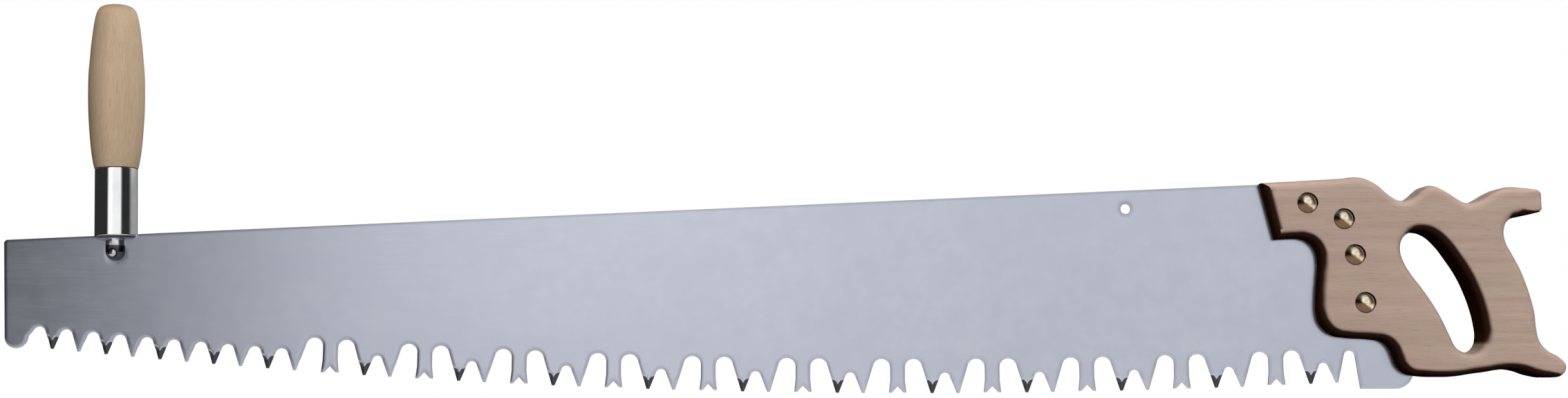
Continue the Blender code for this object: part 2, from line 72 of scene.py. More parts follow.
# Teeth: pegs at the toe, then groups of one split raker between pairs of cutters
TIP_WIDTH = 1.8
PEG_COUNT = 10
PEG_PITCH = 17.4
PEG_DEPTH = 13.4
PEG_ROOT_RADIUS = 4.4
LAST_PEG_X = -778.0
GROUP_COUNT = 11
GROUP_PITCH = 60.83
FIRST_RAKER_X = -755.4
CUTTER_OFFSET = 22.1              # raker to the near cutter of the next pair
GULLET_OFFSET = 10.3
GULLET_RADIUS = 5.6
GULLET_DEPTH = 21.8
NOTCH_DEPTH = 13.0                # between the two cutters of a pair
NOTCH_RADIUS = 3.4
RAKER_SHORT = 0.3                 # rakers stop this far above the cutters' tips
RAKER_HALF = [(4.7, 8.0), (5.6, 0.0), (3.8, 0.0)]   # half width, height above the raker tip
RAKER_SPLIT = 4.0
FILED_HEIGHT = 8.5                # the filed bevels fade out this far above the tips
FILED_WIDTH = 2.7
FILED_EDGE = 0.16                 # steel left along a filed edge
TOOTH_SET = 0.28                  # tips lean this far to alternate sides

# Heel of the blade, partly inside the handle
HEEL_GULLET_X = -99.8
HEEL_GULLET_DEPTH = 19.9
HEEL_GULLET_RADIUS = 3.7
HEEL_LEFT_X = -93.4
HEEL_Z = -69.5
HEEL_RADIUS = 12.0
HEEL_RIGHT_X = -59.0
REAR_EDGE = [(-59.0, -50.0), (-84.0, 20.0), (-84.0, 50.0), (-91.0, 60.0)]
REAR_BACK_X = -100.0

# Holes for the upright handle's pin, one at the toe and a spare one at the heel
PIN_DEPTH = 12.0                  # below the back edge
PIN_HOLE_RADIUS = 3.2
SPARE_HOLE_X = -241.4

# Main handle
HANDLE_THICKNESS = 23.0
EDGE_ROUND = 6.0                  # all round the outline and the hand hole
HORN_ROUND = 2.3                  # less on the horn's end
HORN_BOTTOM_Z = 35.0
HORN_FROM_X = 12.0
SPUR_ROUND = 3.8                  # and on the spur's
SPUR_FROM_X = 22.0
TIP_FADE = 8.0                    # the rounding falls off over this length
KERF_WIDTH = PLATE + 2 * FIT_GAP
KERF = [(-170, 80), (-82.5, 80), (-82.5, 20.5), (-57.5, -49.5), (-57.5, -80), (-170, -80)]

# Outline points are (x, z); a third value marks a sharp corner, the others lie on a smooth curve.
HANDLE_OUTLINE = [
    (-154.4, 62.6, True), (-103.0, 65.5), (-91.5, 66.3), (-81.4, 62.5), (-72.0, 54.6),
    (-65.6, 51.2), (-60.0, 52.0), (-56.0, 54.3), (-52.0, 57.8), (-47.8, 60.6),
    (-43.0, 60.6), (-38.5, 58.7), (-33.5, 55.8), (-28.7, 52.6), (-23.4, 49.8),
    (-18.0, 50.3), (-12.6, 52.7), (-6.2, 56.4), (0.0, 59.0), (6.1, 60.0), (12.8, 59.5),
    (22.8, 57.7, True), (24.7, 55.8, True), (24.7, 45.2, True), (23.1, 43.4, True),
    (16.0, 41.7), (9.5, 40.4), (4.0, 38.3), (1.0, 33.0), (1.3, 25.0), (5.6, 15.7),
    (10.0, 6.5), (13.2, -2.6), (15.7, -11.6), (17.6, -21.0), (18.2, -31.0),
    (19.8, -39.0), (24.8, -45.4), (31.6, -49.9), (35.2, -55.0), (32.6, -60.6),
    (25.0, -62.4), (15.0, -61.0), (6.5, -58.2), (-1.5, -57.2), (-9.0, -57.7),
    (-16.0, -58.9), (-25.0, -60.1), (-34.0, -61.5), (-44.0, -62.1), (-56.0, -61.6),
    (-65.5, -60.0), (-70.2, -55.6), (-72.4, -50.0), (-75.0, -44.0), (-79.8, -39.6),
    (-87.0, -38.2), (-104.0, -37.0), (-111.6, -35.4), (-117.6, -30.4), (-120.5, -23.0),
    (-120.6, -12.0), (-119.3, 1.0), (-118.5, 11.0), (-119.6, 18.0), (-123.4, 23.6),
    (-129.5, 26.4), (-135.0, 26.6), (-146.0, 26.0, True),
]
HAND_HOLE = [
    (-54.0, 31.2), (-47.0, 29.2), (-39.3, 22.4), (-32.4, 12.8), (-26.5, 3.2),
    (-22.0, -7.0), (-18.4, -18.0), (-16.2, -29.0), (-15.8, -36.5), (-17.6, -42.5),
    (-22.5, -46.3), (-28.5, -46.3), (-33.6, -43.4), (-37.2, -36.2), (-42.2, -24.8),
    (-48.0, -14.2), (-54.2, -4.8), (-60.3, 3.6), (-64.9, 12.0), (-66.6, 19.6),
    (-64.8, 26.4), (-60.2, 30.2),
]

# Saw bolts and their slotted nuts
BOLT_PLACES = [(-126.5, 49.1), (-103.4, 38.8), (-97.2, 15.7), (-91.9, -14.9)]
BOLT_HEAD_RADIUS = 6.2
BOLT_SHANK_RADIUS = 2.4
BOLT_HOLE_RADIUS = 2.9
BOLT_NECK = 6.2                   # side of the square neck
BOLT_NECK_LENGTH = 4.8
NECK_OVERLAP = 0.1
COUNTERBORE_RADIUS = 6.6
COUNTERBORE_DEPTH = 2.0
DOME_HEIGHT = 2.5
HEAD_SUNK = 0.2
NUT_PROUD = 0.5
NUT_CHAMFER = 0.4
NUT_SLOT_WIDTH = 1.5
NUT_SLOT_DEPTH = 0.9
NUT_SLOT_TURN = 25.0              # degrees from one nut's slot to the next

# Upright handle; heights are measured from the blade's back along the handle's axis
UPRIGHT_X = -897.0
STUD_RADIUS = 6.3
STUD_END_CENTRE = -10.6           # centre of the stud's ball end
STUD_CROTCH = 0.8                 # top of the slot that straddles the blade
STUD_SHOULDER = 4.7
SHANK_RADIUS = 4.0
SHANK_TOP = 22.0
PIN_RADIUS = 2.8
PIN_HALF_LENGTH = 6.2
PIN_CROWN = 0.5                   # rise of the pin's domed end
FERRULE_RADIUS = 12.9
FERRULE_WALL = 1.2
FERRULE_BOTTOM = -2.8             # the foot laps over the blade's back
FERRULE_FOOT_TOP = 5.0
FERRULE_TOP = 43.0
FERRULE_RIM_RADIUS = 2.4
TENON_RADIUS = FERRULE_RADIUS - FERRULE_WALL - FIT_GAP
TENON_BOTTOM = 7.6
GRIP_BORE_RADIUS = 7.9            # clears the captive nut's corners
GRIP_BORE_TOP = 34.0
GRIP_PROFILE = [                  # height, radius of the turned grip, bottom to top
    (43.3, 13.2), (47.0, 14.0), (52.0, 14.8), (58.0, 15.5), (65.0, 16.1), (72.5, 16.6),
    (80.0, 17.0), (89.0, 17.2), (98.0, 17.2), (106.0, 17.0), (114.0, 16.4), (122.0, 15.8),
    (130.0, 15.0), (137.0, 14.2), (142.0, 13.4), (146.0, 12.5), (148.7, 11.4),
    (150.4, 9.8), (151.5, 7.2), (151.9, 4.0), (152.0, 0.0),
]

# Picture
CAMERA_PLACE = (-0.4634, -1.0, -0.0610)
CAMERA_TILT = math.radians(96.5)
CAMERA_LENS = 35.5
FLOOR_Z = -0.30
FLOOR_RADIUS = 3.0


# ---------------------------------------------------------------- outlines

def back_z(x):
    """Height of the blade's back edge."""
    return BACK_Z_AT_TOE + (x - TOE_X) * math.tan(BACK_ANGLE)


def tip_z(x):
    """Height of the tooth tips."""
    return BREAST_LOW_Z + BREAST_RADIUS - math.sqrt(BREAST_RADIUS ** 2 - (x - BREAST_X) ** 2)


def arc(centre, radius, start, end, steps):
    """Points on an arc, from the angle start to the angle end in degrees."""
    angles = [math.radians(start + (end - start) * i / steps) for i in range(steps + 1)]
    return [(centre[0] + radius * math.cos(a), centre[1] + radius * math.sin(a)) for a in angles]


def gullet(left, right, centre_x, depth, radius, steps=20):
    """Round gullet root, joined to the points left and right of it by tangent flanks."""
    centre = (centre_x, tip_z(centre_x) + depth - radius)

    def tangent(point, side):
        dx, dz = point[0] - centre[0], point[1] - centre[1]
        turn = math.acos(min(1.0, radius / math.hypot(dx, dz)))
        return math.degrees(math.atan2(dz, dx) + side * turn)

    start = tangent(left, -1) % 360
    return arc(centre, radius, start, tangent(right, 1), steps)


def tooth(x):
    """Left and right corner of a tooth's narrow tip."""
    return [(x - TIP_WIDTH / 2, tip_z(x)), (x + TIP_WIDTH / 2, tip_z(x))]


def raker(x):
    """Straight tooth with a split, flared end, left to right."""
    base = tip_z(x) + RAKER_SHORT
    left = [(x - half, base + height) for half, height in RAKER_HALF]
    right = [(x + half, base + height) for half, height in reversed(RAKER_HALF)]
    return left + [(x, base + RAKER_SPLIT)] + right


def tooth_places():
    """(x, side) of every filed tooth; side -1 is filed on the front, 1 on the back."""
    pegs = [(LAST_PEG_X - PEG_PITCH * (PEG_COUNT - 1 - i), 1 if i % 2 else -1)
            for i in range(PEG_COUNT)]
    cutters = []
    for i in range(GROUP_COUNT):
        x = FIRST_RAKER_X + GROUP_PITCH * i
        cutters += [(x + CUTTER_OFFSET, -1), (x + GROUP_PITCH - CUTTER_OFFSET, 1)]
    return pegs + cutters


def toothed_edge():
    """The blade's lower edge from the toe to the start of the heel."""
    points = arc(TOE_LOBE_CENTRE, TOE_LOBE_RADIUS, 180, 360, 24)
    for i in range(PEG_COUNT):
        x = LAST_PEG_X - PEG_PITCH * (PEG_COUNT - 1 - i)
        tip = tooth(x)
        points += gullet(points[-1], tip[0], x - PEG_PITCH / 2, PEG_DEPTH, PEG_ROOT_RADIUS) + tip
    for i in range(GROUP_COUNT):
        x = FIRST_RAKER_X + GROUP_PITCH * i
        middle = raker(x)
        near = tooth(x + CUTTER_OFFSET)
        far = tooth(x + GROUP_PITCH - CUTTER_OFFSET)
        points += gullet(points[-1], middle[0], x - GULLET_OFFSET, GULLET_DEPTH, GULLET_RADIUS)
        points += middle
        points += gullet(points[-1], near[0], x + GULLET_OFFSET, GULLET_DEPTH, GULLET_RADIUS)
        points += near
        points += gullet(near[1], far[0], x + GROUP_PITCH / 2, NOTCH_DEPTH, NOTCH_RADIUS, 14)
        points += far
    heel = (HEEL_LEFT_X, HEEL_Z)
    points += gullet(points[-1], heel, HEEL_GULLET_X, HEEL_GULLET_DEPTH, HEEL_GULLET_RADIUS)
    return points + [heel]


def blade_outline():
    """The whole outline of the blade."""
    heel_centre = (HEEL_RIGHT_X - HEEL_RADIUS, HEEL_Z + HEEL_RADIUS)
    rear = arc(heel_centre, HEEL_RADIUS, -90, 0, 12) + REAR_EDGE
    back = [(REAR_BACK_X, back_z(REAR_BACK_X)), (TOE_X + TOE_CORNER, back_z(TOE_X + TOE_CORNER)),
            (TOE_X, back_z(TOE_X) - TOE_CORNER)]
    return toothed_edge() + rear + back


def resampled(loop, spacing):
    """The closed loop with its long sides divided."""
    points = []
    for a, b in zip(loop, loop[1:] + loop[:1]):
        count = max(1, math.ceil(math.hypot(b[0] - a[0], b[1] - a[1]) / spacing))
        points += [(a[0] + (b[0] - a[0]) * i / count, a[1] + (b[1] - a[1]) * i / count)
                   for i in range(count)]
    return points


# ---------------------------------------------------------------- mesh tools

def link(obj):
    """Put an object in the scene."""
    bpy.context.scene.collection.objects.link(obj)
    return obj


def applied(obj):
    """The object's mesh with its modifiers applied."""
    bpy.context.view_layer.update()
    mesh = bpy.data.meshes.new_from_object(obj.evaluated_get(
        bpy.context.evaluated_depsgraph_get()))
    obj.modifiers.clear()
    obj.data = mesh
    return obj


def finish_piece(obj, body, material, nodes, sharp=35):
    """Shade a piece, give it its material, and put it on its body in place of CAD nodes."""
    obj.data.polygons.foreach_set("use_smooth", [True] * len(obj.data.polygons))
    obj.data.set_sharp_from_angle(angle=math.radians(sharp))
    obj.data.materials.clear()
    obj.data.materials.append(material)
    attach(obj, body)
    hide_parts(*nodes)
    return obj


def turned(name, profile, steps, closed=False):
    """Solid of revolution about local Z; the profile is (radius, height) down the outside."""
    mesh = bpy.data.meshes.new(name)
    edges = [(i, i + 1) for i in range(len(profile) - 1)]
    if closed:
        edges.append((len(profile) - 1, 0))
    mesh.from_pydata([(radius * MM, 0, height * MM) for radius, height in profile], edges, [])
    obj = link(bpy.data.objects.new(name, mesh))
    screw = obj.modifiers.new("Turn", "SCREW")
    screw.axis = "Z"
    screw.steps = steps
    screw.render_steps = steps
    screw.use_merge_vertices = True
    screw.merge_threshold = 0.00001
    return applied(obj)


def block(name, size, centre):
    """Box with its size applied to the mesh."""
    mesh = bpy.data.meshes.new(name)
    box = bmesh.new()
    bmesh.ops.create_cube(box, size=1)
    bmesh.ops.scale(box, vec=[length * MM for length in size], verts=box.verts)
    bmesh.ops.translate(box, vec=[value * MM for value in centre], verts=box.verts)
    box.to_mesh(mesh)
    box.free()
    return link(bpy.data.objects.new(name, mesh))


def cut(obj, cutter, operation="DIFFERENCE"):
    """Cut one solid with another, or join them, and remove the cutter."""
    modifier = obj.modifiers.new(cutter.name, "BOOLEAN")
    modifier.operation = operation
    modifier.object = cutter
    modifier.solver = "EXACT"
    applied(obj)
    bpy.data.objects.remove(cutter)
    return obj


def softened(obj, width, segments=2, angle=40):
    """Break the sharp edges of a machined piece."""
    bevel = obj.modifiers.new("Broken edges", "BEVEL")
    bevel.width = width * MM
    bevel.segments = segments
    bevel.limit_method = "ANGLE"
    bevel.angle_limit = math.radians(angle)
    bevel.use_clamp_overlap = True
    return applied(obj)


def smooth_profile(points, steps):
    """Catmull-Rom curve through (height, radius) points, as (radius, height)."""
    result = []
    for i in range(len(points) - 1):
        before = points[max(i - 1, 0)]
        after = points[min(i + 2, len(points) - 1)]
        for step in range(steps):
            t = step / steps
            result.append(tuple(
                0.5 * (2 * points[i][k] + (points[i + 1][k] - before[k]) * t
                       + (2 * before[k] - 5 * points[i][k] + 4 * points[i + 1][k]
                          - after[k]) * t * t
                       + (3 * points[i][k] - before[k] - 3 * points[i + 1][k]
                          + after[k]) * t ** 3) for k in (1, 0)))
    return result + [(points[-1][1], points[-1][0])]


def flat_solid(name, loop, thickness):
    """Plate in the XZ plane inside a closed outline."""
    solid = bmesh.new()
    front = [solid.verts.new((x * MM, -thickness / 2 * MM, z * MM)) for x, z in loop]
    back = [solid.verts.new((x * MM, thickness / 2 * MM, z * MM)) for x, z in loop]
    solid.faces.new(front)
    solid.faces.new(back[::-1])
    for i in range(len(loop)):
        solid.faces.new((front[i], front[i - 1], back[i - 1], back[i]))
    bmesh.ops.recalc_face_normals(solid, faces=solid.faces)
    mesh = bpy.data.meshes.new(name)
    solid.to_mesh(mesh)
    solid.free()
    return link(bpy.data.objects.new(name, mesh))


def edge_round(x, z):
    """Rounding of the handle's edge at a place."""
    horn = z > HORN_BOTTOM_Z
    tip = HORN_ROUND if horn else SPUR_ROUND
    along = (x - (HORN_FROM_X if horn else SPUR_FROM_X)) / TIP_FADE
    return EDGE_ROUND + (tip - EDGE_ROUND) * min(1.0, max(0.0, along))


def smooth_outline(loop, steps):
    """Points of a closed curve through the outline, counterclockwise, sharp where it says so."""
    data = bpy.data.curves.new("outline", "CURVE")
    curve = link(bpy.data.objects.new("outline", data))
    spline = data.splines.new("BEZIER")
    spline.bezier_points.add(len(loop) - 1)
    for point, place in zip(spline.bezier_points, loop):
        point.co = (place[0], place[1], 0)
        handle = "VECTOR" if len(place) > 2 else "AUTO"
        point.handle_left_type = handle
        point.handle_right_type = handle
    spline.use_cyclic_u = True
    bpy.context.view_layer.update()
    knots = list(spline.bezier_points)
    points = []
    for a, b in zip(knots, knots[1:] + knots[:1]):
        points += geometry.interpolate_bezier(a.co, a.handle_right, b.handle_left, b.co,
                                              steps + 1)[:-1]
    bpy.data.objects.remove(curve)
    area = sum(a.x * b.y - b.x * a.y for a, b in zip(points, points[1:] + points[:1]))
    return points if area > 0 else points[::-1]


def rounded_plate(name, outline, hole, thickness, segments):
    """Plate in the XZ plane with one hole and a rounded edge all round both."""
    solid = bmesh.new()
    caps = ([], [])
    for loop in (outline, hole[::-1]):
        rings = [[] for _ in range(2 * (segments + 1))]
        for before, here, after in zip(loop[-1:] + loop[:-1], loop, loop[1:] + loop[:1]):
            first = (here - before).normalized()
            second = (after - here).normalized()
            inward = Vector((-first.y - second.y, first.x + second.x)).normalized()
            inward /= inward.x * -first.y + inward.y * first.x
            radius = edge_round(here.x, here.y)
            for step in range(segments + 1):
                angle = math.pi / 2 * step / segments
                place = here.xy + inward * radius * (1 - math.cos(angle))
                y = thickness / 2 - radius * (1 - math.sin(angle))
                rings[segments - step].append(solid.verts.new((place.x, -y, place.y)))
                rings[segments + 1 + step].append(solid.verts.new((place.x, y, place.y)))
        for ring, behind in zip(rings, rings[1:]):
            for i in range(len(ring)):
                solid.faces.new((ring[i], ring[i - 1], behind[i - 1], behind[i]))
        caps[0].append(rings[0])
        caps[1].append(rings[-1])
    for rings in caps:
        verts = [vert for ring in rings for vert in ring]
        flat = [[(vert.co.x, vert.co.z, 0) for vert in ring] for ring in rings]
        for triangle in geometry.tessellate_polygon(flat):
            solid.faces.new([verts[i] for i in triangle])
    bmesh.ops.scale(solid, vec=(MM, MM, MM), verts=solid.verts)
    bmesh.ops.recalc_face_normals(solid, faces=solid.faces)
    mesh = bpy.data.meshes.new(name)
    solid.to_mesh(mesh)
    solid.free()
    return link(bpy.data.objects.new(name, mesh))


# ---------------------------------------------------------------- pieces

def filed_depth(x, z, distance):
    """How deep the file has cut here (0 to 1), on which side, and the tooth's lean."""
    height = z - tip_z(x)
    if height < FILED_HEIGHT:
        for tooth_x, side in tooth_places():
            if abs(x - tooth_x) < 5:
                lean = TOOTH_SET * side * (1 - max(0.0, height) / FILED_HEIGHT) ** 1.5
                depth = (max(0.0, 1 - distance / FILED_WIDTH)
                         * min(1.0, max(0.0, (FILED_HEIGHT - height) / 2.5)))
                return depth, side, lean
    return 0.0, 1, 0.0


def make_blade():
    """Plate with a rolled rim, bevel-filed and set teeth, and its holes."""
    pin_x = UPRIGHT_X + PIN_DEPTH * math.sin(BACK_ANGLE)
    circles = [((x, back_z(x) - PIN_DEPTH), PIN_HOLE_RADIUS) for x in (pin_x, SPARE_HOLE_X)]
    circles += [(place, BOLT_HOLE_RADIUS) for place in BOLT_PLACES]
    rim = resampled(blade_outline(), 1.0)
    loops = [rim] + [arc(centre, radius, 350, 0, 35) for centre, radius in circles]

    near = [point for loop in loops for point in resampled(loop, 0.3)]
    tree = kdtree.KDTree(len(near))
    for i, (x, z) in enumerate(near):
        tree.insert((x, 0, z), i)
    tree.balance()

    places = [Vector(point) for loop in loops for point in loop]
    edges = []
    start = 0
    for loop in loops:
        edges += [(start + i, start + (i + 1) % len(loop)) for i in range(len(loop))]
        start += len(loop)
        points = [Vector(point) for point in loop]
        for before, here, after in zip(points[-1:] + points[:-1], points,
                                       points[1:] + points[:1]):
            along = (after - before).normalized()
            inward = Vector((along.y, -along.x)) * (-1 if loop is rim else 1)
            for row in EDGE_ROWS:
                place = here + inward * row
                if tree.find((place.x, 0, place.y))[2] > 0.93 * row:
                    places.append(place)
    for spacing, nearest, farthest in ((1.7, 3.4, 6.5), (7.0, 7.2, 1000.0)):
        for i, x in enumerate(np.arange(TOE_X, HEEL_RIGHT_X, spacing)):
            for z in np.arange(tip_z(x) + 1 + spacing / 2 * (i % 2), back_z(x), spacing):
                if nearest < tree.find((x, 0, z))[2] < farthest:
                    places.append(Vector((x, z)))
    corners, _, triangles, *_ = geometry.delaunay_2d_cdt(
        places, edges, [list(range(len(rim)))], 1, 1e-4)

    def in_hole(triangle):
        middle = sum((corners[i] for i in triangle), Vector((0, 0))) / 3
        return any((middle - Vector(centre)).length < radius for centre, radius in circles)

    solid = bmesh.new()
    # filed marks the filed bevels, which the steel paints near-black as a painted dark reflection
    filed = solid.verts.layers.float.new("filed")
    # closeness to the edge, by which the steel is made darker towards the rim
    rim_closeness = solid.verts.layers.float.new("rim")
    sides = ([], [])
    for corner in corners:
        distance = tree.find((corner.x, 0, corner.y))[2]
        fall = EDGE_FALL * max(0.0, 1 - distance / EDGE_BAND) ** 2
        depth, side, lean = filed_depth(corner.x, corner.y, distance)
        surfaces = [fall - PLATE / 2, PLATE / 2 - fall]
        cut_side = 0 if side < 0 else 1
        other = surfaces[1 - cut_side] + side * FILED_EDGE
        surfaces[cut_side] += (other - surfaces[cut_side]) * depth
        for i, y in enumerate(surfaces):
            vert = solid.verts.new((corner.x * MM, (y + lean) * MM, corner.y * MM))
            vert[filed] = min(1.0, 4 * depth) if i == cut_side else 0.0
            vert[rim_closeness] = max(0.0, 1 - distance / EDGE_ROWS[-1])
            sides[i].append(vert)
    front, back = sides
    for triangle in triangles:
        if not in_hole(triangle):
            a, b, c = triangle
            solid.faces.new((front[a], front[b], front[c]))
            solid.faces.new((back[c], back[b], back[a]))
    behind = dict(zip(front, back))
    for edge in [e for e in solid.edges if e.is_boundary and e.verts[0] in behind]:
        a, b = edge.link_loops[0].vert, edge.link_loops[0].link_loop_next.vert
        solid.faces.new((b, a, behind[a], behind[b]))
    for vert in [v for v in solid.verts if not v.link_faces]:
        solid.verts.remove(vert)
    bmesh.ops.recalc_face_normals(solid, faces=solid.faces)
    mesh = bpy.data.meshes.new("blade_plate")
    solid.to_mesh(mesh)
    solid.free()
    return link(bpy.data.objects.new("blade_plate", mesh))


def make_main_handle():
    """Closed handle with rounded edges, a kerf for the blade and counterbored bolt holes."""
    handle = rounded_plate("wooden_handle", smooth_outline(HANDLE_OUTLINE, 6),
                           smooth_outline(HAND_HOLE, 6), HANDLE_THICKNESS, 8)
    cut(handle, flat_solid("kerf_cutter", KERF, KERF_WIDTH))

    face = HANDLE_THICKNESS / 2
    floor = face - COUNTERBORE_DEPTH
    outside = face + 2
    bore = [(0, outside), (COUNTERBORE_RADIUS + 0.3, outside), (COUNTERBORE_RADIUS + 0.3, face),
            (COUNTERBORE_RADIUS, face - 0.3), (COUNTERBORE_RADIUS, floor),
            (BOLT_HOLE_RADIUS, floor), (BOLT_HOLE_RADIUS, -floor), (COUNTERBORE_RADIUS, -floor),
            (COUNTERBORE_RADIUS, 0.3 - face), (COUNTERBORE_RADIUS + 0.3, -face),
            (COUNTERBORE_RADIUS + 0.3, -outside), (0, -outside)]
    side = BOLT_NECK + 2 * FIT_GAP
    pocket_bottom = floor - BOLT_NECK_LENGTH - FIT_GAP
    pocket_top = floor + COUNTERBORE_DEPTH / 2
    for number, (x, z) in enumerate(BOLT_PLACES, start=1):
        hole = turned(f"bolt_hole_cutter_{number}", bore, 48)
        hole.location = (x * MM, 0, z * MM)
        hole.rotation_euler.x = math.pi / 2
        cut(handle, hole)
        cut(handle, block(f"neck_cutter_{number}", (side, pocket_top - pocket_bottom, side),
                          (x, -(pocket_top + pocket_bottom) / 2, z)))
    return handle


def dome(radius, base, height, steps=10):
    """Profile of a spherical cap, from its top down to its rim."""
    ball = (radius ** 2 + height ** 2) / (2 * height)
    half_angle = math.asin(radius / ball)
    angles = [half_angle * i / steps for i in range(steps + 1)]
    return [(ball * math.sin(a), base + height - ball + ball * math.cos(a)) for a in angles]


def make_bolts(brass):
    """Domed bolts with a square neck, and the slotted nuts on their far ends."""
    face = HANDLE_THICKNESS / 2
    seat = face - COUNTERBORE_DEPTH + FIT_GAP
    rim = face - HEAD_SUNK
    nut_face = -face - NUT_PROUD
    crown = dome(BOLT_HEAD_RADIUS - 0.25, rim, DOME_HEIGHT)
    bolt = crown + [(BOLT_HEAD_RADIUS, rim - 0.2), (BOLT_HEAD_RADIUS, seat),
                    (BOLT_SHANK_RADIUS, seat), (BOLT_SHANK_RADIUS, -rim), (0, -rim)]
    thread = BOLT_SHANK_RADIUS + FIT_GAP
    nut = [(thread, -seat), (BOLT_HEAD_RADIUS, -seat), (BOLT_HEAD_RADIUS, nut_face + NUT_CHAMFER),
           (BOLT_HEAD_RADIUS - NUT_CHAMFER, nut_face), (thread, nut_face)]
    for number, (x, z) in enumerate(BOLT_PLACES, start=1):
        head = turned(f"domed_bolt_{number}", bolt, 64)
        ring = turned(f"slotted_nut_{number}", nut, 64, True)
        for piece in (head, ring):
            piece.location = (x * MM, 0, z * MM)
            piece.rotation_euler.x = math.pi / 2
        slot = block(f"nut_slot_cutter_{number}",
                     (3 * BOLT_HEAD_RADIUS, NUT_SLOT_WIDTH, 2 * NUT_SLOT_DEPTH), (0, 0, nut_face))
        slot.location = ring.location
        slot.rotation_euler = (math.pi / 2, math.radians(NUT_SLOT_TURN * number), 0)
        cut(ring, slot)
        softened(ring, 0.12)
        neck_centre = seat + NECK_OVERLAP - BOLT_NECK_LENGTH / 2
        cut(head, block(f"square_neck_{number}", (BOLT_NECK, BOLT_NECK_LENGTH, BOLT_NECK),
                        (x, -neck_centre, z)), "UNION")
        finish_piece(head, "saw", brass, [f"saw_bolt_{number}"], 30)
        finish_piece(ring, "saw", brass, [f"saw_nut_{number}"], 30)


def make_upright_handle(wood, chrome, dark_steel):
    """Forked stud, pin, ferrule and turned grip on the blade near the toe."""
    fork_width = PLATE + 2 * FIT_GAP
    ball = arc((0, STUD_END_CENTRE), STUD_RADIUS, 0, -90, 18)
    stud = turned("stud", [(0, SHANK_TOP), (SHANK_RADIUS - 0.6, SHANK_TOP),
                           (SHANK_RADIUS, SHANK_TOP - 0.6), (SHANK_RADIUS, STUD_SHOULDER),
                           (STUD_RADIUS - 0.4, STUD_SHOULDER), (STUD_RADIUS, STUD_SHOULDER - 0.4)]
                  + ball[:-1] + [(0, STUD_END_CENTRE - STUD_RADIUS)], 80)
    slot_bottom = STUD_END_CENTRE - STUD_RADIUS - 2
    cut(stud, block("fork_slot_cutter", (3 * STUD_RADIUS, fork_width, STUD_CROTCH - slot_bottom),
                    (0, 0, (STUD_CROTCH + slot_bottom) / 2)))
    sunk = PIN_RADIUS + FIT_GAP
    bore = turned("pin_bore_cutter", [(0, 10), (sunk, 10), (sunk, -10), (0, -10)], 64)
    bore.location.z = -PIN_DEPTH * MM
    bore.rotation_euler.x = math.pi / 2
    cut(stud, bore)
    softened(stud, 0.25)

    end = PIN_HALF_LENGTH
    pin = turned("rivet_pin", dome(PIN_RADIUS - 0.3, end - PIN_CROWN, PIN_CROWN, 5)
                 + [(PIN_RADIUS, end - 0.8), (PIN_RADIUS, 0.8 - end), (PIN_RADIUS - 0.3, 0.5 - end),
                    (PIN_RADIUS * 0.5, -end + 0.1), (0, -end)], 64)
    pin.location.z = -PIN_DEPTH * MM
    pin.rotation_euler.x = math.pi / 2

    inner = FERRULE_RADIUS - FERRULE_WALL
    rim = arc((FERRULE_RADIUS - FERRULE_RIM_RADIUS, FERRULE_BOTTOM + FERRULE_RIM_RADIUS),
              FERRULE_RIM_RADIUS, 0, -90, 14)
    lip = arc((FERRULE_RADIUS - 0.6, FERRULE_TOP - 0.6), 0.6, 90, 0, 6)
    ferrule = turned("bright_ferrule", [(inner, FERRULE_TOP)] + lip + rim
                     + [(STUD_RADIUS + FIT_GAP, FERRULE_BOTTOM),
                        (STUD_RADIUS + FIT_GAP, FERRULE_FOOT_TOP), (inner, FERRULE_FOOT_TOP)],
                     128, True)
    lap = FIT_GAP - FERRULE_BOTTOM + 2
    cut(ferrule, block("ferrule_slot_cutter", (3 * FERRULE_RADIUS, fork_width, lap),
                       (0, 0, FIT_GAP - lap / 2)))

    outside = list(reversed(smooth_profile(GRIP_PROFILE, 4)))
    grip = turned("turned_grip", outside
                  + [(TENON_RADIUS, GRIP_PROFILE[0][0]), (TENON_RADIUS, TENON_BOTTOM),
                     (GRIP_BORE_RADIUS, TENON_BOTTOM), (GRIP_BORE_RADIUS, GRIP_BORE_TOP),
                     (0, GRIP_BORE_TOP)], 128)

    axis = link(bpy.data.objects.new("upright_axis", None))
    axis.location = (UPRIGHT_X * MM, 0, back_z(UPRIGHT_X) * MM)
    axis.rotation_euler.y = -BACK_ANGLE
    bpy.context.view_layer.update()
    for piece in (stud, pin, ferrule, grip):
        piece.data.transform(axis.matrix_world @ piece.matrix_basis)
        piece.matrix_basis.identity()
    bpy.data.objects.remove(axis)
    finish_piece(stud, "saw", dark_steel, ["forked_stud"])
    finish_piece(pin, "saw", dark_steel, ["cross_pin"])
    finish_piece(ferrule, "ferrule", chrome, ["ferrule"])
    finish_piece(grip, "grip", wood, ["upright_grip"], 60)


# ---------------------------------------------------------------- materials

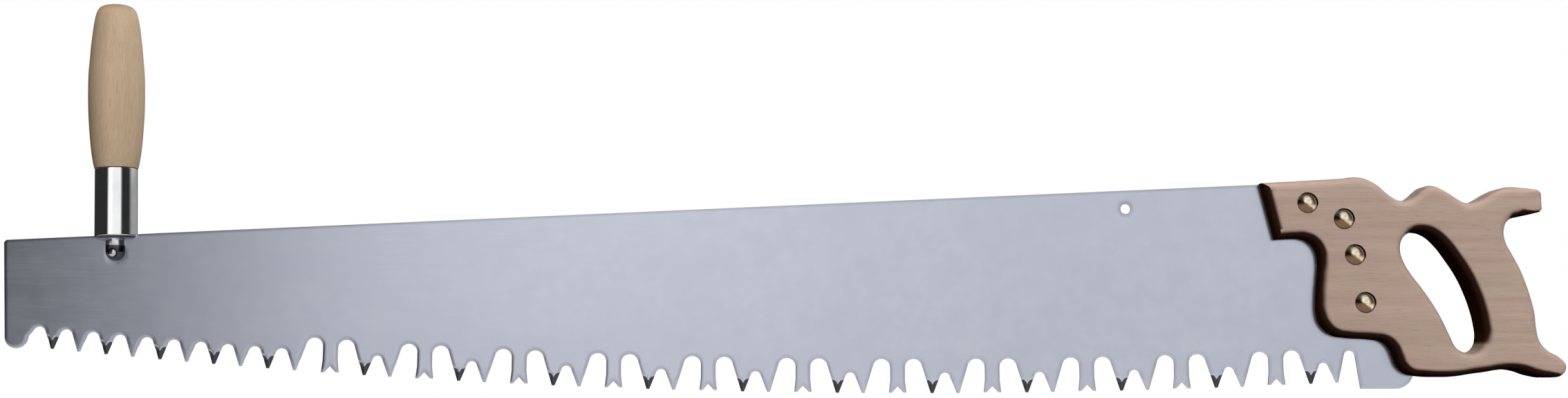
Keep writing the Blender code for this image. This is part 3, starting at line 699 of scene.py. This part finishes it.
class Nodes:
    """Short way to build a material's node tree."""

    def __init__(self, tree):
        self.tree = tree

    def add(self, kind, inputs=None, **settings):
        """New node; inputs are values or sockets, keyed by name or number."""
        node = self.tree.nodes.new("ShaderNode" + kind)
        for name, value in settings.items():
            setattr(node, name, value)
        for key, value in (inputs or {}).items():
            if isinstance(value, bpy.types.NodeSocket):
                self.tree.links.new(value, node.inputs[key])
            else:
                node.inputs[key].default_value = value
        return node

    def math(self, operation, a, b=0.0):
        """Result of a Math node."""
        return self.add("Math", {0: a, 1: b}, operation=operation).outputs[0]

    def ramp(self, value, low, high, to_low=0.0, to_high=1.0, smooth=True):
        """Value mapped from one range to another, clamped."""
        node = self.add("MapRange", {"Value": value, "From Min": low, "From Max": high,
                                     "To Min": to_low, "To Max": to_high})
        node.interpolation_type = "SMOOTHSTEP" if smooth else "LINEAR"
        return node.outputs["Result"]

    def mix(self, factor, a, b, blend="MIX"):
        """Mixed colour."""
        node = self.add("Mix", data_type="RGBA", blend_type=blend)
        for key, value in ((0, factor), (6, a), (7, b)):
            if isinstance(value, bpy.types.NodeSocket):
                self.tree.links.new(value, node.inputs[key])
            elif key:
                node.inputs[key].default_value = (*value, 1)
            else:
                node.inputs[key].default_value = value
        return node.outputs[2]

    def noise(self, coordinates, scale, detail=4.0, roughness=0.5):
        """Noise in coordinates stretched by a scale per axis, 0 to 1."""
        mapping = self.add("Mapping", {"Vector": coordinates, "Scale": scale})
        node = self.add("TexNoise", {"Vector": mapping.outputs[0], "Scale": 1.0, "Detail": detail,
                                     "Roughness": roughness})
        return node.outputs[0]


def new_material(name):
    """Material with an empty Principled shader, its node builder and object coordinates."""
    material = bpy.data.materials.new(name)
    material.use_nodes = True
    tree = material.node_tree
    shader = tree.nodes["Principled BSDF"]
    nodes = Nodes(tree)
    coordinates = nodes.add("TexCoord")
    return material, nodes, shader, coordinates


def steel_material():
    """Polished saw steel: faint mottling, darker towards the rims, and a painted dark reflection on
    the filed bevels.
    """
    material, nodes, shader, place = new_material("saw_steel")
    at = place.outputs["Object"]
    mottle = nodes.noise(at, (60, 60, 60), 5.0, 0.6)
    cloud = nodes.noise(at, (9, 9, 14), 3.0)
    scratch = nodes.noise(at, (30, 200, 1500), 3.0, 0.6)
    base = nodes.mix(nodes.ramp(mottle, 0.3, 0.7), (0.545, 0.57, 0.665), (0.58, 0.605, 0.69))
    base = nodes.mix(nodes.ramp(cloud, 0.35, 0.7, 0.0, 0.4), base, (0.53, 0.555, 0.64))
    rim = nodes.add("Attribute", attribute_name="rim").outputs["Fac"]
    # Darker towards the rim.
    base = nodes.mix(nodes.ramp(rim, 0.1, 0.95, 0.0, 0.45), base, (0.26, 0.265, 0.30))
    filed = nodes.add("Attribute", attribute_name="filed").outputs["Fac"]
    # Painted reflection: the filed bevels are painted near-black, standing in for the dark
    # surroundings they face.
    base = nodes.mix(nodes.ramp(filed, 0.1, 0.7, 0.0, 0.93), base, (0.03, 0.03, 0.033))
    nodes.tree.links.new(base, shader.inputs["Base Color"])
    rough = nodes.math("ADD", nodes.ramp(scratch, 0.3, 0.7, 0.22, 0.25),
                       nodes.ramp(mottle, 0.35, 0.7, 0.0, 0.015))
    nodes.tree.links.new(rough, shader.inputs["Roughness"])
    shader.inputs["Metallic"].default_value = 1.0
    bump = nodes.add("Bump", {"Strength": 0.02, "Distance": 0.00004, "Height": scratch})
    nodes.tree.links.new(bump.outputs[0], shader.inputs["Normal"])
    return material


def wood_material(name, stretch, tones):
    """Oiled beech; stretch scales the grain per axis, tones are its pale, dark and patch colours.

    Wood with its grain along X has painted shade on its edges, near-black to the left and below.
    """
    material, nodes, shader, place = new_material(name)
    at = place.outputs["Object"]

    def grain(scale, detail, roughness):
        return nodes.noise(at, [scale * value for value in stretch], detail, roughness)

    streak = grain(6.5, 4.0, 0.55)
    band = grain(1.6, 3.0, 0.5)
    fibre = grain(50, 3.0, 0.65)
    fleck = nodes.noise(at, [120 if value == 1 else 60 * value for value in stretch], 2.0, 0.4)
    patch = nodes.noise(at, (34, 34, 34), 2.0)
    pale, dark, odd = tones
    base = nodes.mix(nodes.ramp(streak, 0.32, 0.68), dark, pale)
    base = nodes.mix(nodes.ramp(band, 0.35, 0.65, 0.0, 0.5), base, odd)
    base = nodes.mix(nodes.ramp(patch, 0.45, 0.75, 0.0, 0.4), base, odd)
    base = nodes.mix(nodes.ramp(fibre, 0.35, 0.65, 0.2, 0.0), base, (0.38, 0.26, 0.20))
    base = nodes.mix(nodes.ramp(fleck, 0.60, 0.72, 0.0, 0.35), base, (0.33, 0.22, 0.165))
    facing = nodes.add("SeparateXYZ", {0: place.outputs["Normal"]}).outputs
    if stretch[0] == 1:
        # Painted shade on the side walls and roundings of the handle.
        side = nodes.ramp(nodes.math("ABSOLUTE", facing[1]), 0.85, 0.2, 0.0, 0.8)
        base = nodes.mix(side, base, (0.13, 0.07, 0.045))
        # Painted shade, near-black, where the wood faces left and down, with its gloss taken away
        # there too.
        under_shade = nodes.math("ADD", nodes.math("MULTIPLY", facing[0], -0.6),
                           nodes.math("MULTIPLY", facing[2], -0.85))
        base = nodes.mix(nodes.ramp(under_shade, 0.10, 0.42, 0.0, 0.985), base, (0.035, 0.012, 0.006))
        nodes.tree.links.new(nodes.ramp(under_shade, 0.10, 0.42, 0.35, 0.0),
                             shader.inputs["Specular IOR Level"])
    else:
        end = nodes.ramp(facing[2], 0.15, 0.8, 0.0, 0.75)
        base = nodes.mix(end, base, (0.22, 0.14, 0.09))
    nodes.tree.links.new(base, shader.inputs["Base Color"])
    nodes.tree.links.new(nodes.ramp(fibre, 0.3, 0.7, 0.52, 0.42), shader.inputs["Roughness"])
    shader.inputs["Specular IOR Level"].default_value = 0.35
    height = nodes.math("ADD", fibre, nodes.math("MULTIPLY", fleck, -0.6))
    bump = nodes.add("Bump", {"Strength": 0.2, "Distance": 0.00012, "Height": height})
    nodes.tree.links.new(bump.outputs[0], shader.inputs["Normal"])
    return material


def brass_material():
    """Worn bright brass with blotches of tarnish, and painted shade towards the lower left."""
    material, nodes, shader, place = new_material("bolt_brass")
    at = place.outputs["Object"]
    tarnish = nodes.noise(at, (420, 420, 420), 4.0, 0.6)
    scratch = nodes.noise(at, (600, 5000, 600), 2.0)
    base = nodes.mix(nodes.ramp(tarnish, 0.42, 0.68), (1.0, 0.90, 0.74), (0.80, 0.64, 0.42))
    facing = nodes.add("SeparateXYZ", {0: place.outputs["Normal"]}).outputs
    # Painted shade: dark where the domes face the lower left.
    under_shade = nodes.math("ADD", nodes.math("MULTIPLY", facing[0], -0.75),
                       nodes.math("MULTIPLY", facing[1], -1.0))
    base = nodes.mix(nodes.ramp(under_shade, 0.05, 0.32, 0.0, 0.93), base, (0.14, 0.07, 0.03))
    nodes.tree.links.new(base, shader.inputs["Base Color"])
    rough = nodes.math("ADD", nodes.ramp(tarnish, 0.4, 0.7, 0.18, 0.34),
                       nodes.ramp(scratch, 0.4, 0.6, 0.0, 0.05))
    nodes.tree.links.new(rough, shader.inputs["Roughness"])
    shader.inputs["Metallic"].default_value = 1.0
    return material


def chrome_material():
    """Bright plating with rings and smudges, with painted shade where it faces down."""
    material, nodes, shader, place = new_material("bright_plating")
    at = place.outputs["Object"]
    smudge = nodes.noise(at, (90, 90, 60), 4.0, 0.6)
    ring = nodes.noise(at, (30, 30, 3000), 2.0)
    base = nodes.mix(nodes.ramp(smudge, 0.35, 0.7), (1.0, 1.0, 1.0), (0.90, 0.91, 0.93))
    # Painted shade: near-black where the plating faces down.
    down = nodes.add("SeparateXYZ", {0: place.outputs["Normal"]}).outputs[2]
    base = nodes.mix(nodes.ramp(down, -0.08, -0.35, 0.0, 0.96), base, (0.02, 0.02, 0.03))
    nodes.tree.links.new(base, shader.inputs["Base Color"])
    rough = nodes.math("ADD", nodes.ramp(smudge, 0.4, 0.75, 0.05, 0.13),
                       nodes.ramp(ring, 0.4, 0.6, 0.0, 0.02))
    nodes.tree.links.new(rough, shader.inputs["Roughness"])
    shader.inputs["Metallic"].default_value = 1.0
    return material


def dark_steel_material():
    """Blackened steel, with painted highlights on the pin's ends and on the stud above the pin."""
    material, nodes, shader, place = new_material("blackened_steel")
    at = place.outputs["Object"]
    wear = nodes.noise(at, (260, 260, 260), 5.0, 0.65)
    base = nodes.mix(nodes.ramp(wear, 0.5, 0.75, 0.0, 0.6), (0.06, 0.06, 0.065), (0.20, 0.20, 0.22))
    x, _, z = nodes.add("SeparateXYZ", {0: at}).outputs
    pin_x = (UPRIGHT_X + PIN_DEPTH * math.sin(BACK_ANGLE)) * MM
    pin_z = (back_z(UPRIGHT_X) - PIN_DEPTH * math.cos(BACK_ANGLE)) * MM
    from_pin = nodes.math("POWER", nodes.math("ADD", nodes.math(
        "POWER", nodes.math("SUBTRACT", x, pin_x), 2.0), nodes.math(
        "POWER", nodes.math("SUBTRACT", z, pin_z), 2.0)), 0.5)
    # Painted highlights: pale steel on the pin's ends and on the stud above the pin.
    pin_end_highlight = nodes.ramp(from_pin, 1.9 * MM, 2.5 * MM, 0.7, 0.0)
    above_pin_highlight = nodes.ramp(z, pin_z + 4.5 * MM, pin_z + 6.0 * MM)
    bright = nodes.math("MAXIMUM", pin_end_highlight, above_pin_highlight)
    base = nodes.mix(bright, base, (0.80, 0.81, 0.84))
    nodes.tree.links.new(base, shader.inputs["Base Color"])
    nodes.tree.links.new(nodes.ramp(wear, 0.4, 0.7, 0.16, 0.30), shader.inputs["Roughness"])
    shader.inputs["Metallic"].default_value = 1.0
    return material


# ---------------------------------------------------------------- studio

def make_world():
    """White behind the saw for the camera; soft boxes in front, right and behind for the rest."""
    world = bpy.data.worlds.new("studio")
    bpy.context.scene.world = world
    world.use_nodes = True
    tree = world.node_tree
    tree.nodes.clear()
    nodes = Nodes(tree)
    direction = nodes.add("SeparateXYZ", {0: nodes.add("TexCoord").outputs["Generated"]})
    x, y, z = direction.outputs
    azimuth = nodes.math("ARCTAN2", x, nodes.math("MULTIPLY", y, -1.0))
    elevation = nodes.math("ARCSINE", z)

    def between(value, low, low_soft, high_soft, high):
        rise = nodes.ramp(value, math.radians(low), math.radians(low_soft), smooth=False)
        fall = nodes.ramp(value, math.radians(high_soft), math.radians(high), 1.0, 0.0)
        return nodes.math("MULTIPLY", rise, fall)

    front = nodes.math("MULTIPLY", between(azimuth, -26.5, -15.5, 42, 56),
                       between(elevation, -12, 2, 50, 75))
    front = nodes.math("MULTIPLY", front, nodes.ramp(azimuth, math.radians(-6),
                                                     math.radians(9), 1.22, 1.0))
    right = nodes.math("MULTIPLY", between(azimuth, 95, 115, 170, 179),
                       between(elevation, -10, 5, 60, 80))
    behind = nodes.ramp(nodes.math("ABSOLUTE", azimuth), math.radians(100), math.radians(130))
    rear = nodes.math("MULTIPLY", behind, between(elevation, 12, 25, 60, 80))
    light = nodes.math("ADD", nodes.math("MULTIPLY", front, 0.87),
                       nodes.math("MULTIPLY", right, 0.30))
    light = nodes.math("ADD", light, nodes.math("MULTIPLY", rear, 0.7))
    light = nodes.math("ADD", light, 0.025)
    studio = nodes.add("Background", {0: (1.0, 1.0, 1.0, 1), 1: light})
    paper = nodes.add("Background", {0: (1.0, 1.0, 1.0, 1), 1: 1.0})
    ray = nodes.add("LightPath")
    choice = nodes.add("MixShader", {0: ray.outputs["Is Camera Ray"], 1: studio.outputs[0],
                                     2: paper.outputs[0]})
    output = nodes.add("OutputWorld", {0: choice.outputs[0]})
    tree.links.new(choice.outputs[0], output.inputs["Surface"])


def area_light(name, place, target, size, power):
    """Square area light aimed at a point, not seen in reflections."""
    data = bpy.data.lights.new(name, "AREA")
    data.shape = "SQUARE"
    data.size = size
    data.energy = power
    lamp = link(bpy.data.objects.new(name, data))
    lamp.location = place
    lamp.rotation_euler = (Vector(target) - Vector(place)).to_track_quat("-Z", "Y").to_euler()
    lamp.visible_glossy = False


def make_floor():
    """Round pale floor under the saw, too low and small to reach into the main picture."""
    mesh = bpy.data.meshes.new("floor")
    disc = bmesh.new()
    bmesh.ops.create_circle(disc, cap_ends=True, radius=FLOOR_RADIUS, segments=128)
    disc.to_mesh(mesh)
    disc.free()
    floor = link(bpy.data.objects.new("floor", mesh))
    floor.location = (CAMERA_PLACE[0], 0, FLOOR_Z)
    material, nodes, shader, place = new_material("pale_floor")
    grain = nodes.noise(place.outputs["Object"], (3, 3, 3), 4.0)
    nodes.tree.links.new(nodes.mix(nodes.ramp(grain, 0.3, 0.7), (0.80, 0.80, 0.80),
                                   (0.84, 0.84, 0.84)), shader.inputs["Base Color"])
    shader.inputs["Roughness"].default_value = 0.9
    mesh.materials.append(material)
    floor.visible_diffuse = False


def make_camera():
    """Camera at the picture's viewing angle."""
    data = bpy.data.cameras.new("camera")
    data.lens = CAMERA_LENS
    data.sensor_width = 36.0
    camera = link(bpy.data.objects.new("camera", data))
    camera.location = CAMERA_PLACE
    camera.rotation_euler.x = CAMERA_TILT
    bpy.context.scene.camera = camera


def main():
    """Build the looks of the saw and its studio."""
    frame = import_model()
    steel = steel_material()
    wood = wood_material("beech_lengthwise", (1, 30, 30), [
        (0.60, 0.44, 0.365), (0.51, 0.36, 0.30), (0.55, 0.435, 0.32)])
    turned_wood = wood_material("beech_upright", (30, 30, 1), [
        (0.74, 0.54, 0.36), (0.64, 0.455, 0.30), (0.68, 0.52, 0.33)])
    brass = brass_material()
    chrome = chrome_material()
    dark_steel = dark_steel_material()

    finish_piece(make_blade(), "saw", steel, ["blade"], 28)
    finish_piece(make_main_handle(), "saw", wood, ["main_handle"], 40)
    make_bolts(brass)
    make_upright_handle(turned_wood, chrome, dark_steel)
    for name in ("thrust_washer", "captive_nut"):
        node = frame["nodes"][name]
        node.data.materials.clear()
        node.data.materials.append(dark_steel)

    make_world()
    area_light("key", (0.25, -1.9, 0.95), (-0.40, 0, 0.0), 0.7, 21)
    area_light("top", (-0.46, 0.4, 2.6), (-0.46, 0.4, 0.0), 3.0, 60)
    make_floor()
    make_camera()
    bpy.context.scene.view_settings.view_transform = "Standard"


main()
